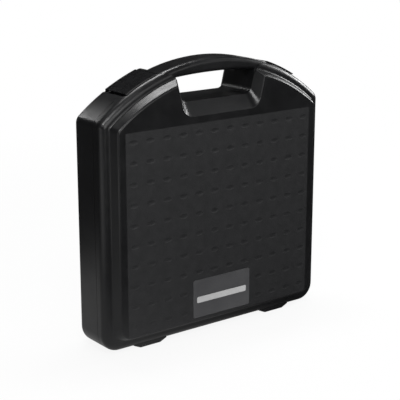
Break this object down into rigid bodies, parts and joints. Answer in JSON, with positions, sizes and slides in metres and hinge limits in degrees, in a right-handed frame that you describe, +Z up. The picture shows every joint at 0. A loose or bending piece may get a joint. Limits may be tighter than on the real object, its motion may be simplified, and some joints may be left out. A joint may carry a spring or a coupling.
{
  "type": "label maker case",
  "caption": "Hard plastic carrying case with a hinged lid, shoulder snap latches, a through-the-crown hand opening, and a pocketed tray inside.",
  "frame": {"origin": "middle of the case at the level that its feet stand on", "axes": "+Z up through the handle, -Y out of the front of the lid, +X to the right seen from the front"},
  "size_m": [0.3, 0.072, 0.3089],
  "materials": {
    "shell": "moulded black, satin, grained field",
    "latch": "moulded black, satin",
    "tray": "formed dark grey sheet, satin",
    "foam": "open-cell charcoal foam",
    "badge": "satin dark grey plate",
    "screw": "zinc plated",
    "pin": "plain steel"
  },
  "bodies": {
    "base": {"rear_shell": "shell", "inner_tray": "tray", "tray_screws": "screw", "right_latch_pin": "pin", "left_latch_pin": "pin", "right_hinge_pin": "pin", "left_hinge_pin": "pin"},
    "lid": {"front_shell": "shell", "lid_pad": "foam", "badge_plate": "badge"},
    "right_latch": {"right_latch": "latch"},
    "left_latch": {"left_latch": "latch"}
  },
  "joints": [
    {"name": "lid_hinge", "type": "hinge", "parent": "base", "child": "lid", "pos_m": [0, -0.012, 0.0031], "axis": [1, 0, 0], "range_deg": [0, 130]},
    {"name": "right_latch_pivot", "type": "hinge", "parent": "base", "child": "right_latch", "pos_m": [0.09334, 0.017, 0.28474], "axis": [-0.9094, 0, 0.416], "range_deg": [0, 95]},
    {"name": "left_latch_pivot", "type": "hinge", "parent": "base", "child": "left_latch", "pos_m": [-0.09334, 0.017, 0.28474], "axis": [-0.9094, 0, -0.416], "range_deg": [0, 95]}
  ]
}
